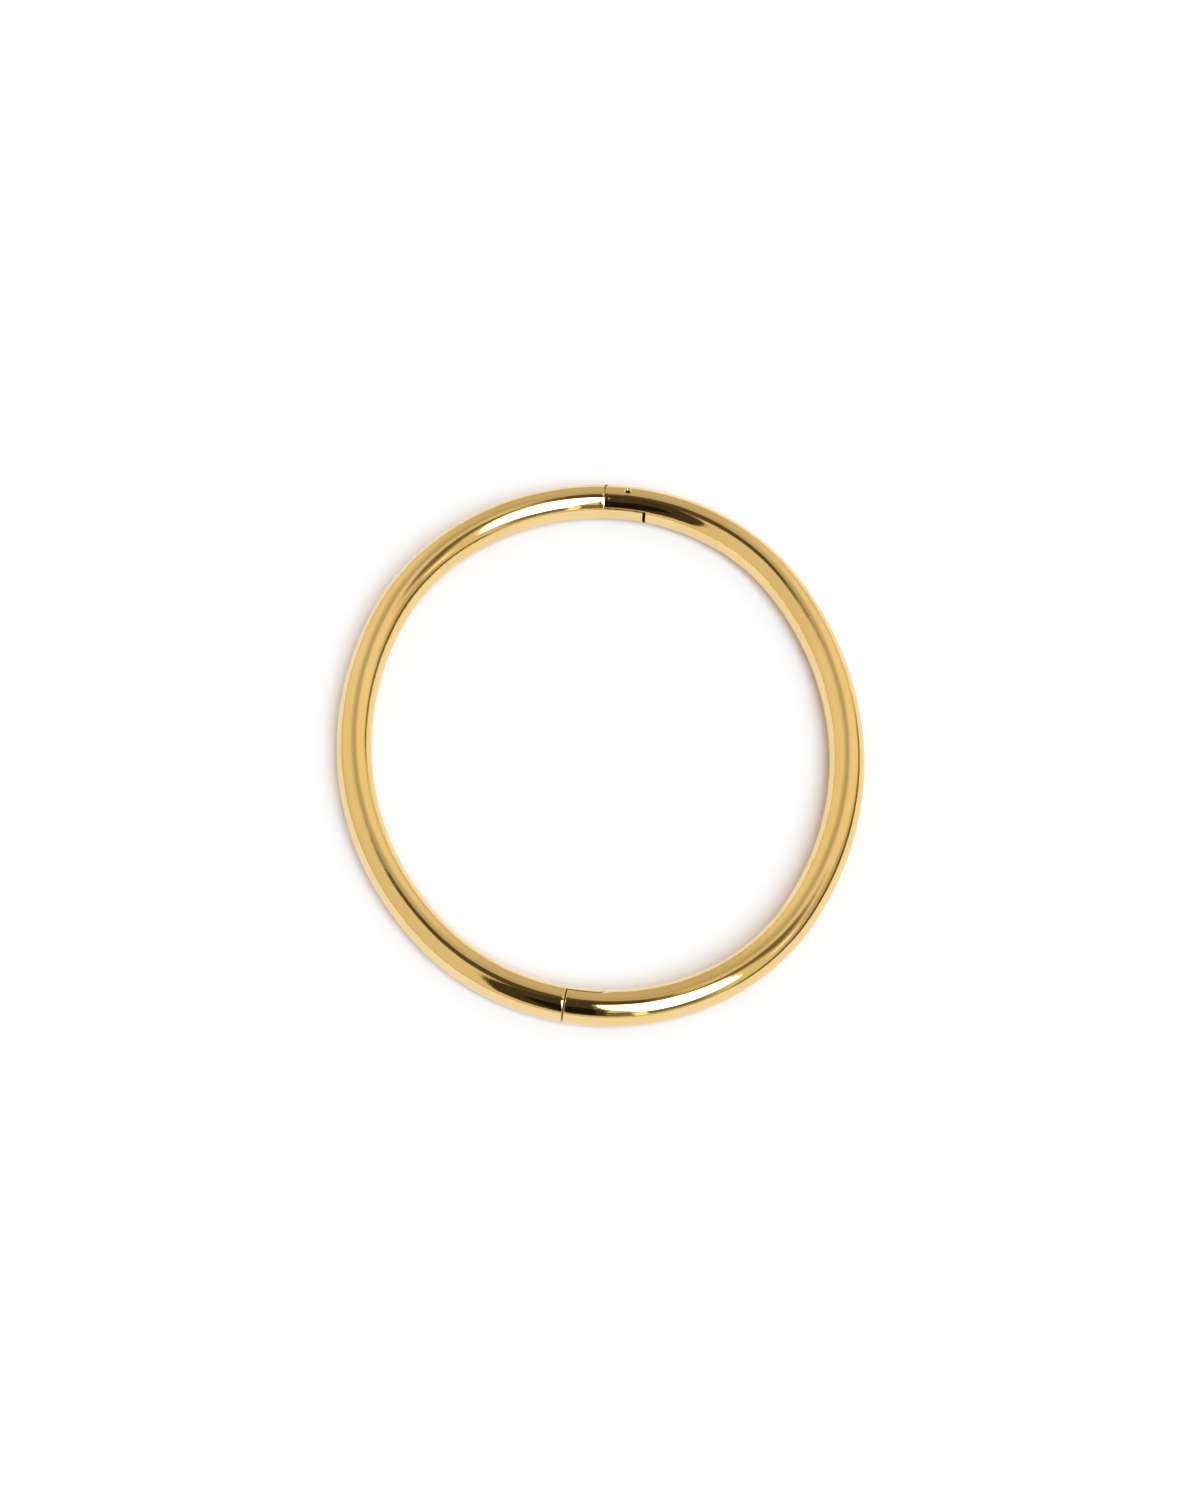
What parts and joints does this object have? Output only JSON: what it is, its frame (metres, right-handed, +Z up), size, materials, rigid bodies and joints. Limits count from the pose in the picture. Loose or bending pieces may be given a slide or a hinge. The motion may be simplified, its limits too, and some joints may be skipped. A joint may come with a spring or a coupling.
{
  "type": "hinged oval bangle bracelet",
  "caption": "Slim round-section metal bangle, oval, in two half hoops joined by a riveted hinge and a lapped snap clasp, lying flat.",
  "frame": {"origin": "under the middle of the oval, in the plane that the bangle lies on", "axes": "+Z up through the wrist opening, +Y along the long axis towards the hinge, +X towards the half hoop that carries the hinge fork"},
  "size_m": [0.06, 0.07, 0.004],
  "materials": {
    "polished_gold": "gold plate, mirror polished",
    "pin_gold": "gold plate, riveted and polished flush"
  },
  "bodies": {
    "right_half": {"right_half_hoop": "polished_gold", "hinge_pin": "pin_gold"},
    "left_half": {"left_half_hoop": "polished_gold"}
  },
  "joints": [
    {"name": "hinge", "type": "hinge", "parent": "right_half", "child": "left_half", "pos_m": [0.00606, 0.0329, 0.002], "axis": [0, 0, -1], "range_deg": [0, 75]}
  ]
}
